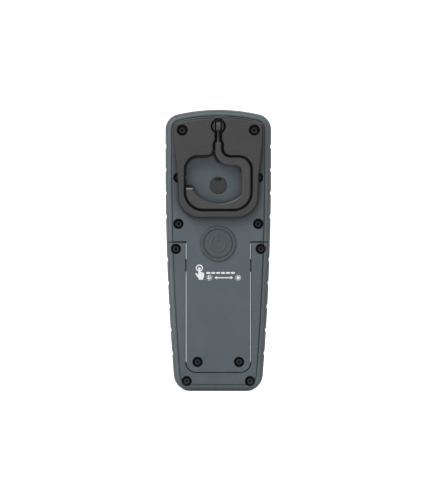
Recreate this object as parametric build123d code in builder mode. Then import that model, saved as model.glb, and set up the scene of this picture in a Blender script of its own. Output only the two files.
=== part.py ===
"""Handheld LED work light with a fold-out hanging hook and a U-shaped swing-out stand.

Millimetres. X runs to the right and Z up in the view of the hook side, which faces -Y; the lamp
shines to +Y. The origin is under the middle of the light, on the surface it stands on.
Depths are measured from the middle plane (y = 0): positive ones towards the hook side.
"""
import os
from math import atan, degrees, sqrt

from build123d import *

# ---------------------------------------------------------------- overall form
height = 170.0               # whole light, standing on its end
half_width = 31.95           # widest place, at the head
seam_height = 90.0           # the head stands on the stand along this level
case_half_depth = 13.0       # flat faces of the housings
bezel_height = 3.8           # lens bezel, in front of the housing
waist_radius = 1604.0        # long side arc that narrows the handle
straight_side = 34.0         # below the top, before the long side arc starts
top_radius = 109.0           # crowned top edge
top_corner_radius = 9.4
bottom_corner_radius = 10.3
head_module = 80.0           # length of head that all rises over the seam are given for

# ---------------------------------------------------------------- walls and clearances
wall = 1.8
rim_width = 3.65             # rubber rim, seen from the hook side
rim_bond = 0.1               # between a rubber rim and the housing that it is moulded on
rim_band_drop = 4.5          # from the housing's face down to the rim's flat outer band
rim_flank_width = 0.95       # outer flank, then a narrow ledge, then the inner flank and crest
rim_flank_height = 1.9
rim_ledge_width = 0.5
rim_crest_width = 0.9
rim_crest_drop = 0.5         # the crest lies this far below the housing's face
outer_edge_break = 0.9       # chamfer of the housings along the rim groove
inner_edge_break = 0.25      # broken edges along the gap between tongue and stand
part_gap = 0.45              # open gap between the tongue and the stand
seam_gap = 0.6               # gap over the stand's top ends, which swing past the shoulder
stop_gap = 0.15              # between the stand's end and the shoulder it stops on
shoulder_lap = 0.7           # the shoulder's lens half reaches down into a step of the stand
lap_clearance = 1.05         # room for the step when the stand swings
running_gap = 0.05           # pins in their bores
fit_gap = 0.1                # pieces dropped into a pocket
seat_gap = 0.05              # pieces laid one on another

# ---------------------------------------------------------------- grip notches
notch_depth = 0.5
notch_width = 2.8
head_notches = 4
head_notch_rises = (15.4, 57.82)
stand_notches = 5
stand_notch_start = 22.8
stand_notch_drop = 10.64     # highest notch of the stand below the seam

# ---------------------------------------------------------------- tongue and stand
arm_width = 12.61            # from the light's widest place in to the tongue
tongue_bottom = 11.6
tongue_corner_radius = 6.0
hinge_drop = 14.1            # hinge below the seam
hinge_cover = 4.0            # from the housing's face to the hinge axis
hinge_pin_radius = 2.0
hinge_pin_grip = 5.74        # length of each hinge pin inside the tongue
hinge_pin_reach = 6.26       # length of each hinge pin inside the stand's arm
friction_washer_radius = 3.9
hinge_boss_radius = 3.8
hinge_boss_overhang = 0.8

# ---------------------------------------------------------------- screws
screw_head_radius = 2.35
screw_head_height = 1.9
screw_head_dome = 0.9
screw_shank_radius = 1.45
screw_hole_radius = 1.7
screw_socket_radius = 0.95
screw_socket_depth = 1.2
screw_recess_radius = 3.2
screw_recess_depth = 3.4
screw_reach = 6.0            # how far the shanks go past the middle plane
screw_tip_room = 0.6
boss_radius = 3.9
front_boss_radius = 3.1
head_screw_inset = 7.9       # screws in from the light's widest place, or from its side
head_screw_rises = (11.0, 38.9)
tongue_screw_inset = (6.84, 6.15)
stand_top_screw_inset = 5.567
stand_top_screw_drop = 4.1
stand_bottom_screw_inset = 7.59
stand_bottom_screw_height = 6.2

# ---------------------------------------------------------------- hook plate and its recess
plate_height = 3.0           # how far the plate stands above the housing
plate_slope = 0.8            # how far its side walls lean in
plate_edge_radius = 0.5
plate_top_drop = 5.0         # below the light's top
plate_inset = 5.05           # in from the light's widest place
plate_corner_radius = 8.5
plate_waist_inset = 7.35
plate_side_rise = 64.0       # the straight side ends here and starts to draw in
plate_ring_inset = 7.75
plate_bottom_rise = 14.5
plate_screw_inset = 10.25
plate_screw_drop = 12.6
plate_recess_radius = 3.45
plate_cup_wall = 1.1
plate_cup_floor = 1.2
plate_cup_depth = 1.6        # how far the screw cups reach into the housing

recess_inset = 11.05
recess_top_rise = 52.4
recess_bottom_rise = 18.4
recess_top_radius = 8.6
recess_shoulder_radius = 3.8
recess_throat_radius = 1.5
recess_neck_bend_radius = 0.5
recess_floor_drop = 2.2      # floor of the recess below the housing's face
recess_wall = 1.6
neck_half_width = 2.4
throat_half_width = 3.5
throat_rise = 59.4
throat_slope = 2.2

# ---------------------------------------------------------------- hook, hub and pin
hook_gap = 1.2               # between the hook and the wall of its recess
hook_floor_gap = 0.4
hook_thickness = 4.2
hook_bar_width = 5.7
hook_stem_half_width = 2.1
hook_stem_flare_drop = 0.25
hook_stem_flare_height = 2.4
hook_stem_flare_angle = 24
hook_stem_rise = 60.2
hook_bar_rise = 46.1         # lower edge of the upper bar
hook_inner_end_rise = 28.6   # where the inner edge leaves the long side
hook_belly_rise = 23.3       # lowest place of the round inner edge
hook_tip_rise = 32.9
hook_tip_width = 4.7
hook_tip_face = 1.6
hook_tip_straight = 2.7
hook_bend_runs = (3.1, 3.7)  # straight runs beside the long bend under the stem
hook_bend_inner_radius = 4.8
hook_corner_radius = 3.5
hook_foot_radius = 3.0
hook_tip_radius = 0.9
hook_edge_radius = 1.1
neck_radius = 1.1
pivot_drop = 10.4            # below the light's top
pivot_depth = 14.0
tab_radius = 2.8
tab_width = 2.4
hook_pin_radius = 0.8
hook_pin_length = 7.4
hub_radius = 4.25
hub_gap = 0.35
hub_rise = 0.2
hub_flange_radius = 4.9
hub_flange_gap = 0.2
hub_slot_width = 4.2
hub_slot_gap = 0.3
hub_floor = 1.2
hub_crown_radius = 2.4
hub_pocket_overlap = 0.5

# ---------------------------------------------------------------- power button
button_drop = 1.0            # below the seam
button_gap = 0.35
button_seal_wall = 2.24      # seal seen round the key
button_seal_lip = 1.335      # flange of the seal under the housing
button_seal_lip_height = 0.8
button_seal_rise = 0.2
button_seal_edge = 0.5
button_rise = 0.5            # above the housing
button_thickness = 1.5
button_edge_radius = 0.6
button_plunger_radius = 2.0
button_travel = 0.6
switch_width = 6.0
switch_body_height = 1.3
switch_cap_radius = 1.7
switch_height = 1.9

# ---------------------------------------------------------------- boards and battery
board_inset = 3.84           # in from the tongue's side
board_below_button = 8.6
board_above_button = 14.6
board_depth = 9.0
board_thickness = 1.2
board_corner_radius = 1.5
post_radius = 2.1
post_inset = 2.5
post_end_insets = (2.8, 3.0)
small_screw_radius = 0.9
small_head_radius = 1.7
small_head_height = 1.1
small_screw_grip = 4.0
small_screw_room = 0.5
driver_chip = (4.4, 6.0, 2.4)
driver_chip_inset = 3.5
driver_chip_rise = 2.5       # over the middle of the key

port_rise = 34.2
port_radius = 5.15
port_gap = 0.15
port_collar_wall = 1.4
port_collar_length = 3.4
cover_thickness = 1.2
cover_edge_break = 0.2
cover_notch_width = 4.0
cover_notch_height = 1.7
cover_notch_radius = 0.6
cover_notch_depth = 0.9
cover_notch_offset = 3.7
cover_plug_width = 7.0
cover_plug_height = 1.5
cover_plug_length = 0.9
socket_width = 8.94
socket_height = 3.26
socket_wall = 0.3
socket_floor = 1.0
socket_length = 7.3
socket_gap = 0.2
socket_tongue = (6.7, 0.7)
socket_tongue_setback = 1.6
charge_board_width = 23.0
charge_board_height = 13.0
charge_board_thickness = 1.0
charge_board_corner = 1.2
charge_post_x = 9.2

cell_radius = 9.2
cell_top_rise = 3.0          # over the seam
cell_length = 65.0
cell_edge_radius = 0.6
cell_offset = 1.8            # the cell lies this far towards the lens side
cradle_wall = 3.0
cradle_margin = 2.0
cradle_rear = 4.0
tab_strip_width = 5.0
tab_strip_length = 8.0
tab_strip_thickness = 0.3
wire_radius = 0.6
wire_bend = 1.6
wire_loop = 4.5              # how far a lead stands off the end of the cell
lead_cross_drop = 15.0       # the lower lead crosses to the side this far below the board
lead_slant = 10.0
board_wire_inset = 4.5       # where leads end, in from the edge of a board
board_wire_room = 3.2        # height of the leads' loops over the board
lamp_wire_x = 2.6
charge_wire_x = 6.4
charge_wire_room = 2.6

# ---------------------------------------------------------------- lamp
window_inset = 12.55
window_rises = (9.5, 62.5)
window_radius = 5.0
lens_lip = 0.9
lens_thickness = 2.0
lens_cover = 1.0             # bezel in front of the lens
gasket_thickness = 0.6
gasket_width = 1.3
bezel_inset = 4.4
bezel_foot = 6.1             # bezel below the window
bezel_slope = 1.3
bezel_edge_radius = 0.8
lamp_fit = 0.4               # between the lamp's stack and the window
reflector_drop = 0.1         # the reflector lies this far inside the housing's face
reflector_depth = 5.9
reflector_wall = 0.35        # between the mouths of neighbouring cups
reflector_throat_radius = 2.2
led_columns = 4
led_rows = 5
led_margin_x = 5.45          # from the window's edge to the outer chips
led_margin_z = 6.3
led_size = 3.0
led_height = 0.7
led_board_thickness = 1.6
sink_thickness = 2.0
fin_height = 3.0
fin_thickness = 1.3
fin_count = 8
fin_margin = 2.25            # from the window's edge to the outer fins
fin_end_margin = 5.5
fin_shift = 1.0
sink_notch_half_width = 6.0
sink_notch_height = 5.0
ear_radius = 3.0
ear_post_radius = 2.5
ear_inset = 7.4              # ear screws, in from the window's side
ear_overhang = 3.2           # ear screws, outside the window's ends
ear_screw_cover = 0.8
seal_inset = 0.5
seal_width = 0.6

# ---------------------------------------------------------------- derived sizes


def rise(above_seam):
    """Height of a feature of the head: its distance over the seam stretches with the head."""
    return seam_height + above_seam * (height - seam_height) / head_module


front_reach = case_half_depth + bezel_height
waist_start = height - straight_side
shell_inset = rim_width + rim_bond
rim_flat_half_depth = case_half_depth - rim_band_drop
rim_ledge_depth = rim_flat_half_depth + rim_flank_height
rim_half_depth = case_half_depth - rim_crest_drop
shoulder_rear = seam_height + seam_gap / 2
stand_top = seam_height - seam_gap / 2
stand_step = stand_top - shoulder_lap
shoulder_front = stand_step + stop_gap
tongue_half_width = half_width - arm_width
hinge_height = seam_height - hinge_drop
hinge_depth = case_half_depth - hinge_cover
hinge_pin_inner = tongue_half_width - hinge_pin_grip
hinge_pin_outer = tongue_half_width + part_gap + hinge_pin_reach
stand_inner_half_width = tongue_half_width + part_gap
stand_inner_bottom = tongue_bottom - part_gap
stand_inner_radius = tongue_corner_radius + part_gap
inner_depth = case_half_depth - wall
plate_face = case_half_depth + plate_height
screw_seat = case_half_depth - screw_recess_depth
plate_cup_bottom = case_half_depth - plate_cup_depth
plate_seat = plate_cup_bottom + plate_cup_floor
plate_cup_radius = plate_recess_radius + plate_cup_wall
plate_top = height - plate_top_drop
plate_half_width = half_width - plate_inset
plate_waist = (half_width - plate_waist_inset, rise(head_screw_rises[1]))
plate_side_end = rise(plate_side_rise)
plate_ring_half_width = half_width - plate_ring_inset
plate_bottom = rise(plate_bottom_rise)
plate_screw = (half_width - plate_screw_inset, height - plate_screw_drop)
recess_half_width = half_width - recess_inset
recess_top = rise(recess_top_rise)
recess_bottom = rise(recess_bottom_rise)
throat_top = rise(throat_rise)
hook_stem_top = rise(hook_stem_rise)
hook_bar_bottom = rise(hook_bar_rise)
hook_inner_end = rise(hook_inner_end_rise)
hook_belly = rise(hook_belly_rise)
hook_tip_height = rise(hook_tip_rise)
pivot_height = height - pivot_drop
recess_floor_depth = case_half_depth - recess_floor_drop
recess_bottom_radius = hook_tip_height - recess_bottom - hook_tip_straight
plate_ring_radius = recess_bottom_radius + hook_gap
plate_ring_start = plate_bottom + plate_ring_radius
hook_inner_x = recess_half_width - hook_gap - hook_bar_width
hook_bottom_depth = recess_floor_depth + hook_floor_gap
hook_middle_depth = hook_bottom_depth + hook_thickness / 2
hub_hole_radius = hub_radius + hub_gap
hub_slot_floor = pivot_depth - tab_radius - hub_slot_gap
hub_bottom = hub_slot_floor - hub_floor
button_height = seam_height - button_drop
board_half_width = tongue_half_width - board_inset
board_bottom = button_height - board_below_button
board_top = button_height + board_above_button
post_x = board_half_width - post_inset
post_heights = (board_bottom + post_end_insets[0], board_top - post_end_insets[1])
post_distance = sqrt(post_x**2 + (button_height - post_heights[0]) ** 2)
button_seal_flange = post_distance - post_radius - fit_gap
button_seal_radius = button_seal_flange - button_seal_lip
button_radius = button_seal_radius - button_seal_wall
driver_chip_x = board_half_width - driver_chip_inset
port_height = rise(port_rise)
window_half_width = half_width - window_inset
window_bottom, window_top = rise(window_rises[0]), rise(window_rises[1])
window_mid = (window_bottom + window_top) / 2
window_size = (2 * window_half_width, window_top - window_bottom)
reflector_front = case_half_depth - reflector_drop
reflector_back = reflector_front - reflector_depth
led_pitch_x = 2 * (window_half_width - led_margin_x) / (led_columns - 1)
led_pitch_z = (window_size[1] - 2 * led_margin_z) / (led_rows - 1)
reflector_mouth_radius = min(led_pitch_x, led_pitch_z) / 2 - reflector_wall
fin_pitch = 2 * (window_half_width - fin_margin) / (fin_count - 1)
fin_length = window_size[1] - 2 * fin_end_margin
ear_x = window_half_width - ear_inset
led_board_front = reflector_back - seat_gap
led_board_back = led_board_front - led_board_thickness
sink_front = led_board_back - seat_gap
sink_back = sink_front - sink_thickness
ear_heights = (window_bottom - ear_overhang, window_top + ear_overhang)
lens_back = front_reach - lens_cover - lens_thickness
cover_depth = recess_floor_depth
socket_front = cover_depth - cover_thickness - socket_gap
charge_board_face = socket_front - socket_length
cell_top = seam_height + cell_top_rise
cell_bottom = cell_top - cell_length
cradle_half_width = cell_radius + cradle_wall


def depth_plane(depth):
    """Plane parallel to the hook side, `depth` behind the middle plane, that faces the hook side."""
    return Plane.XZ.offset(depth)


def lens_plane(depth):
    """Plane `depth` in front of the middle plane, that faces the way the lamp shines."""
    return Plane(origin=(0, depth, 0), x_dir=(-1, 0, 0), z_dir=(0, 1, 0))


def side_half_width(z):
    """Half-width of the light at height z, on the long side arc or the straight above it."""
    drop = max(waist_start - z, 0)
    return half_width - waist_radius + sqrt(waist_radius**2 - drop**2)


def light_outline(inset):
    """The whole light's outline, seen from the hook side, drawn in by `inset`."""
    crown = height - top_radius + sqrt(top_radius**2 - half_width**2)
    foot = side_half_width(0)
    knee = side_half_width(waist_start / 2)
    with BuildSketch() as sketch:
        with BuildLine():
            ThreePointArc((-half_width, crown), (0, height), (half_width, crown))
            Line((half_width, crown), (half_width, waist_start))
            ThreePointArc((half_width, waist_start), (knee, waist_start / 2), (foot, 0))
            Line((foot, 0), (-foot, 0))
            ThreePointArc((-foot, 0), (-knee, waist_start / 2), (-half_width, waist_start))
            Line((-half_width, waist_start), (-half_width, crown))
        make_face()
        fillet(sketch.vertices().group_by(Axis.Y)[-1], top_corner_radius)
        fillet(sketch.vertices().group_by(Axis.Y)[0], bottom_corner_radius)
        if inset:
            offset(amount=-inset)
    return sketch.sketch


def head_outline(inset, bottom):
    """The part of the outline above `bottom`."""
    with BuildSketch() as sketch:
        add(light_outline(inset))
        with Locations((0, bottom)):
            Rectangle(2 * height, height, align=(Align.CENTER, Align.MIN), mode=Mode.INTERSECT)
    return sketch.sketch


def tongue_outline(growth):
    """The tongue that hangs from the head, grown by `growth`; it runs up to the shoulder."""
    with BuildSketch() as sketch:
        bottom = tongue_bottom - growth
        with Locations((0, bottom)):
            Rectangle(2 * (tongue_half_width + growth), seam_height + wall + 1 - bottom,
                      align=(Align.CENTER, Align.MIN))
        fillet(sketch.vertices().group_by(Axis.Y)[0], tongue_corner_radius + growth)
    return sketch.sketch


def paddle_outline(inset, shoulder):
    """Head and tongue in one, as both housings of the body have it, drawn in by `inset`."""
    with BuildSketch() as sketch:
        add(head_outline(shell_inset + inset, shoulder + inset))
        add(tongue_outline(-inset))
    return sketch.sketch


def stand_outline(inset, top):
    """The U of the stand: the outline below `top` less the room for the tongue."""
    with BuildSketch() as sketch:
        add(light_outline(inset))
        with Locations((0, top)):
            Rectangle(2 * height, height, align=(Align.CENTER, Align.MIN), mode=Mode.SUBTRACT)
        add(tongue_outline(part_gap), mode=Mode.SUBTRACT)
    return sketch.sketch


def recess_outline(growth):
    """Bottle-shaped recess of the hook, with its neck up to the hub, grown by `growth`."""
    side = [(neck_half_width, pivot_height), (neck_half_width, throat_top + throat_slope),
            (throat_half_width, throat_top), (throat_half_width, recess_top),
            (recess_half_width, recess_top), (recess_half_width, recess_bottom), (0, recess_bottom)]
    bends = [recess_neck_bend_radius, recess_throat_radius, recess_shoulder_radius,
             recess_top_radius, recess_bottom_radius]
    with BuildSketch() as sketch:
        with BuildLine():
            edge = FilletPolyline(*side, radius=bends)
            mirror(edge, about=Plane.YZ)
            Line((-neck_half_width, pivot_height), (neck_half_width, pivot_height))
        make_face()
        if growth:
            offset(amount=growth, kind=Kind.INTERSECTION)
    return sketch.sketch


def window_outline(growth):
    """Rounded lamp window, grown by `growth`."""
    with BuildSketch() as sketch:
        with Locations((0, window_mid)):
            RectangleRounded(window_size[0] + 2 * growth, window_size[1] + 2 * growth,
                             window_radius + growth)
    return sketch.sketch


def both_sides(x, z):
    """The mirrored pair of places at height z."""
    return [(-x, z), (x, z)]


tongue_screw = (tongue_half_width - tongue_screw_inset[0], tongue_bottom + tongue_screw_inset[1])
head_screw_x = half_width - head_screw_inset
head_screw_places = [p for z in head_screw_rises for p in both_sides(head_screw_x, rise(z))]
shell_screw_places = head_screw_places + both_sides(*tongue_screw)
plate_screw_places = both_sides(*plate_screw)
stand_top_screw_height = seam_height - stand_top_screw_drop
stand_screw_places = [
    place
    for z, inset in ((stand_top_screw_height, stand_top_screw_inset),
                     (stand_bottom_screw_height, stand_bottom_screw_inset))
    for place in both_sides(side_half_width(z) - inset, z)]
board_post_places = [p for z in post_heights for p in both_sides(post_x, z)]
charge_post_places = both_sides(charge_post_x, port_height)
ear_places = [p for z in ear_heights for p in both_sides(ear_x, z)]


def break_edges(shell, is_outer):
    """Wide chamfer along the rim groove and a small one along the gap, on the shell's outer face."""
    for outer, size in ((True, outer_edge_break), (False, inner_edge_break)):
        face = shell.faces().sort_by(lambda f: abs(f.center().Y))[-1]
        chamfer([e for e in face.edges() if is_outer(e.center()) == outer], size)


def on_head(place):
    """True on the head's outer edge, False on the tongue and the shoulders."""
    return place.Z > shoulder_rear + outer_edge_break


def on_stand(place):
    """True on the stand's outer edge, False along the tongue's room and the top ends."""
    beside_tongue = abs(place.X) < stand_inner_half_width + fit_gap
    return not (beside_tongue and place.Z > stand_inner_bottom - fit_gap) and (
        place.Z < stand_step - outer_edge_break)


# ================================================================ rear housing: head and tongue
with BuildPart() as rear_shell:
    with BuildSketch(depth_plane(0)):
        add(paddle_outline(0, shoulder_rear))
    extrude(amount=case_half_depth)
    break_edges(rear_shell, on_head)
    with BuildSketch(depth_plane(0)):
        add(paddle_outline(wall, shoulder_rear))
    extrude(amount=inner_depth, mode=Mode.SUBTRACT)
    # tub of the hook recess
    with BuildSketch(depth_plane(recess_floor_depth - recess_wall)):
        add(recess_outline(recess_wall))
    extrude(amount=wall + recess_wall)
    # pocket that carries the hook's hub
    with BuildSketch(depth_plane(hub_bottom - recess_wall)):
        with Locations((0, pivot_height)):
            Circle(hub_flange_radius + recess_wall)
    extrude(amount=inner_depth - hub_bottom + recess_wall + hub_pocket_overlap)
    # collar of the charging port
    with BuildSketch(depth_plane(recess_floor_depth - port_collar_length)):
        with Locations((0, port_height)):
            Circle(port_radius + port_gap + port_collar_wall)
    extrude(amount=port_collar_length - recess_wall / 2)
    # bosses of the case screws
    with BuildSketch(depth_plane(0)):
        with Locations(shell_screw_places):
            Circle(boss_radius)
        with Locations(plate_screw_places):
            Circle(plate_cup_radius + fit_gap + wall / 2)
        add(paddle_outline(wall / 2, shoulder_rear), mode=Mode.INTERSECT)
    extrude(amount=inner_depth)
    # posts of the main board and of the charging board
    with BuildSketch(depth_plane(board_depth)):
        with Locations(board_post_places):
            Circle(post_radius)
    extrude(amount=inner_depth - board_depth)
    with BuildSketch(depth_plane(charge_board_face)):
        with Locations(charge_post_places):
            Circle(post_radius)
    extrude(amount=recess_floor_depth - recess_wall - charge_board_face)
    # bosses of the hinge pins, inside the tongue's walls
    boss_inner = hinge_pin_inner - hinge_boss_overhang
    boss_length = tongue_half_width - wall / 2 - boss_inner
    for side in (1, -1):
        with BuildSketch(Plane.YZ.offset(side * boss_inner)):
            with Locations((-hinge_depth, hinge_height)):
                Circle(hinge_boss_radius)
        extrude(amount=side * boss_length)
    # everything that is cut from the hook side
    with BuildSketch(depth_plane(recess_floor_depth)):
        add(recess_outline(0))
    extrude(amount=case_half_depth, mode=Mode.SUBTRACT)
    with BuildSketch(depth_plane(hub_bottom - hub_flange_gap)):
        with Locations((0, pivot_height)):
            Circle(hub_flange_radius + hub_flange_gap)
    extrude(amount=case_half_depth, mode=Mode.SUBTRACT)
    with BuildSketch(depth_plane(0)):
        with Locations((0, port_height)):
            Circle(port_radius + port_gap)
    extrude(amount=case_half_depth, mode=Mode.SUBTRACT)
    with BuildSketch(depth_plane(screw_seat)):
        with Locations(shell_screw_places):
            Circle(screw_recess_radius)
    extrude(amount=case_half_depth, mode=Mode.SUBTRACT)
    with BuildSketch(depth_plane(plate_cup_bottom)):
        with Locations(plate_screw_places):
            Circle(plate_cup_radius + fit_gap)
    extrude(amount=case_half_depth, mode=Mode.SUBTRACT)
    with BuildSketch(depth_plane(0)):
        with Locations(shell_screw_places + plate_screw_places):
            Circle(screw_hole_radius)
        with Locations((0, button_height)):
            Circle(button_seal_radius + fit_gap)
    extrude(amount=case_half_depth, mode=Mode.SUBTRACT)
    # threads' core holes in the posts, and the bores of the hinge pins
    with BuildSketch(depth_plane(board_depth)):
        with Locations(board_post_places):
            Circle(small_screw_radius + running_gap)
    extrude(amount=small_screw_grip - board_thickness, mode=Mode.SUBTRACT)
    with BuildSketch(depth_plane(charge_board_face)):
        with Locations(charge_post_places):
            Circle(small_screw_radius + running_gap)
    extrude(amount=small_screw_grip - charge_board_thickness + fit_gap, mode=Mode.SUBTRACT)
    with BuildSketch(Plane.YZ):
        with Locations((-hinge_depth, hinge_height)):
            Circle(hinge_pin_radius + running_gap)
    extrude(amount=half_width, both=True, mode=Mode.SUBTRACT)

# ================================================================ front housing: head and tongue
with BuildPart() as front_shell:
    with BuildSketch(depth_plane(-case_half_depth)):
        add(paddle_outline(0, shoulder_front))
    extrude(amount=case_half_depth)
    break_edges(front_shell, on_head)
    with BuildSketch(depth_plane(-inner_depth)):
        add(paddle_outline(wall, shoulder_front))
    extrude(amount=case_half_depth, mode=Mode.SUBTRACT)
    with BuildSketch(depth_plane(-inner_depth)):
        with Locations(shell_screw_places + plate_screw_places):
            Circle(front_boss_radius)
        add(paddle_outline(wall / 2, shoulder_front), mode=Mode.INTERSECT)
    extrude(amount=inner_depth)
    with BuildSketch(depth_plane(-inner_depth)):
        with Locations(ear_places):
            Circle(ear_post_radius)
    extrude(amount=inner_depth - sink_front - seat_gap)
    with BuildSketch(depth_plane(-case_half_depth)):
        add(window_outline(0))
    extrude(amount=2 * wall, mode=Mode.SUBTRACT)
    with BuildSketch(depth_plane(-screw_reach - screw_tip_room)):
        with Locations(shell_screw_places + plate_screw_places):
            Circle(screw_shank_radius + running_gap)
    extrude(amount=case_half_depth, mode=Mode.SUBTRACT)
    with BuildSketch(depth_plane(-inner_depth + ear_screw_cover)):
        with Locations(ear_places):
            Circle(small_screw_radius + running_gap)
    extrude(amount=case_half_depth, mode=Mode.SUBTRACT)
    # groove of the dust seal
    with BuildSketch(depth_plane(-seal_width)):
        add(paddle_outline(seal_inset, shoulder_rear))
        add(paddle_outline(seal_inset + seal_width, shoulder_rear), mode=Mode.SUBTRACT)
    extrude(amount=seal_width, mode=Mode.SUBTRACT)

# ================================================================ dust seal between the housings
with BuildPart() as case_seal:
    with BuildSketch(depth_plane(seat_gap - seal_width)):
        add(paddle_outline(seal_inset + seat_gap, shoulder_rear))
        add(paddle_outline(seal_inset + seal_width - seat_gap, shoulder_rear), mode=Mode.SUBTRACT)
    extrude(amount=seal_width - 2 * seat_gap)


def rim_body(bottom, top):
    """Solid of the light's outline between two heights, with the rim's stepped flanks."""
    crest_height = rim_half_depth - rim_ledge_depth
    crest_start = rim_flank_width + rim_ledge_width
    crest_run = rim_width - rim_crest_width - crest_start
    with BuildPart() as body:
        with BuildSketch(depth_plane(-rim_flat_half_depth)):
            add(light_outline(0))
        extrude(amount=2 * rim_flat_half_depth)
        for side_plane in (depth_plane, lens_plane):
            with BuildSketch(side_plane(rim_flat_half_depth)):
                add(light_outline(0))
            extrude(amount=rim_flank_height, taper=degrees(atan(rim_flank_width / rim_flank_height)))
            with BuildSketch(side_plane(rim_ledge_depth)):
                add(light_outline(crest_start))
            extrude(amount=crest_height, taper=degrees(atan(crest_run / crest_height)))
        with BuildSketch(Plane.XY.offset(bottom)):
            Rectangle(4 * half_width, 4 * half_width)
        extrude(amount=top - bottom, mode=Mode.INTERSECT)
    return body.part


def notch_places(ends, count):
    """Centres of the grip notches on both sides, evenly between the lowest and the highest."""
    radius = notch_radius()
    heights = [ends[0] + i * (ends[1] - ends[0]) / (count - 1) for i in range(count)]
    return [(side * (side_half_width(z) + radius - notch_depth), z)
            for z in heights for side in (-1, 1)]


def notch_radius():
    """Radius of the scoop that is notch_width wide and notch_depth deep."""
    return ((notch_width / 2) ** 2 + notch_depth**2) / (2 * notch_depth)


# ================================================================ rubber rim of the head
with BuildPart() as head_rim:
    add(rim_body(shoulder_rear, height + seam_gap))
    # the lens half reaches down into the stand's step, which stops there
    with BuildSketch(Plane.XY.offset(shoulder_front)):
        with Locations((0, case_half_depth / 2)):
            Rectangle(4 * half_width, case_half_depth)
    lip = extrude(amount=shoulder_rear - shoulder_front, mode=Mode.PRIVATE)
    add(rim_body(shoulder_front, shoulder_rear) & lip)
    with BuildSketch(depth_plane(-case_half_depth)):
        add(light_outline(rim_width))
    extrude(amount=2 * case_half_depth, mode=Mode.SUBTRACT)
    with BuildSketch(depth_plane(-case_half_depth)):
        with Locations(notch_places([rise(z) for z in head_notch_rises], head_notches)):
            Circle(notch_radius())
    extrude(amount=2 * case_half_depth, mode=Mode.SUBTRACT)

# ================================================================ stand: two halves and a rim
with BuildPart() as stand_rear_shell:
    with BuildSketch(depth_plane(0)):
        add(stand_outline(shell_inset, stand_top))
    extrude(amount=case_half_depth)
    break_edges(stand_rear_shell, on_stand)
    # the step for the shoulder starts a little behind the joint face
    with BuildSketch(Plane.XY.offset(stand_step)):
        with Locations((0, 0)):
            Rectangle(4 * half_width, 2 * lap_clearance)
    extrude(amount=2 * shoulder_lap, mode=Mode.SUBTRACT)
    with BuildSketch(depth_plane(screw_seat)):
        with Locations(stand_screw_places):
            Circle(screw_recess_radius)
    extrude(amount=case_half_depth, mode=Mode.SUBTRACT)
    with BuildSketch(depth_plane(0)):
        with Locations(stand_screw_places):
            Circle(screw_hole_radius)
    extrude(amount=case_half_depth, mode=Mode.SUBTRACT)
    with BuildSketch(Plane.YZ.offset(-hinge_pin_outer - fit_gap)):
        with Locations((-hinge_depth, hinge_height)):
            Circle(hinge_pin_radius + running_gap)
    extrude(amount=2 * (hinge_pin_outer + fit_gap), mode=Mode.SUBTRACT)

with BuildPart() as stand_front_shell:
    with BuildSketch(depth_plane(-case_half_depth)):
        add(stand_outline(shell_inset, stand_step))
    extrude(amount=case_half_depth)
    break_edges(stand_front_shell, on_stand)
    with BuildSketch(depth_plane(-screw_reach - screw_tip_room)):
        with Locations(stand_screw_places):
            Circle(screw_shank_radius + running_gap)
    extrude(amount=case_half_depth, mode=Mode.SUBTRACT)

with BuildPart() as stand_rim:
    add(rim_body(0, stand_top))
    with BuildSketch(Plane.XY.offset(stand_step)):
        with Locations((0, (2 * case_half_depth - lap_clearance) / 2)):
            Rectangle(4 * half_width, 2 * case_half_depth + lap_clearance)
    extrude(amount=2 * shoulder_lap, mode=Mode.SUBTRACT)
    with BuildSketch(depth_plane(-case_half_depth)):
        add(light_outline(rim_width))
    extrude(amount=2 * case_half_depth, mode=Mode.SUBTRACT)
    with BuildSketch(depth_plane(-case_half_depth)):
        with Locations(notch_places((stand_notch_start, seam_height - stand_notch_drop),
                                    stand_notches)):
            Circle(notch_radius())
    extrude(amount=2 * case_half_depth, mode=Mode.SUBTRACT)
    with BuildSketch(depth_plane(screw_seat)):
        with Locations(stand_screw_places):
            Circle(screw_recess_radius)
    extrude(amount=case_half_depth, mode=Mode.SUBTRACT)

# ================================================================ hinge of the stand
with BuildPart() as hinge_pins:
    with BuildSketch(Plane.YZ.offset(hinge_pin_inner)):
        with Locations((-hinge_depth, hinge_height)):
            Circle(hinge_pin_radius)
    extrude(amount=hinge_pin_outer - hinge_pin_inner)
    chamfer(hinge_pins.edges(), inner_edge_break)
    mirror(about=Plane.YZ)

with BuildPart() as friction_washers:
    with BuildSketch(Plane.YZ.offset(tongue_half_width + seat_gap)):
        with Locations((-hinge_depth, hinge_height)):
            Circle(friction_washer_radius)
            Circle(hinge_pin_radius + running_gap, mode=Mode.SUBTRACT)
    extrude(amount=part_gap - 2 * seat_gap)
    mirror(about=Plane.YZ)

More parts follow.
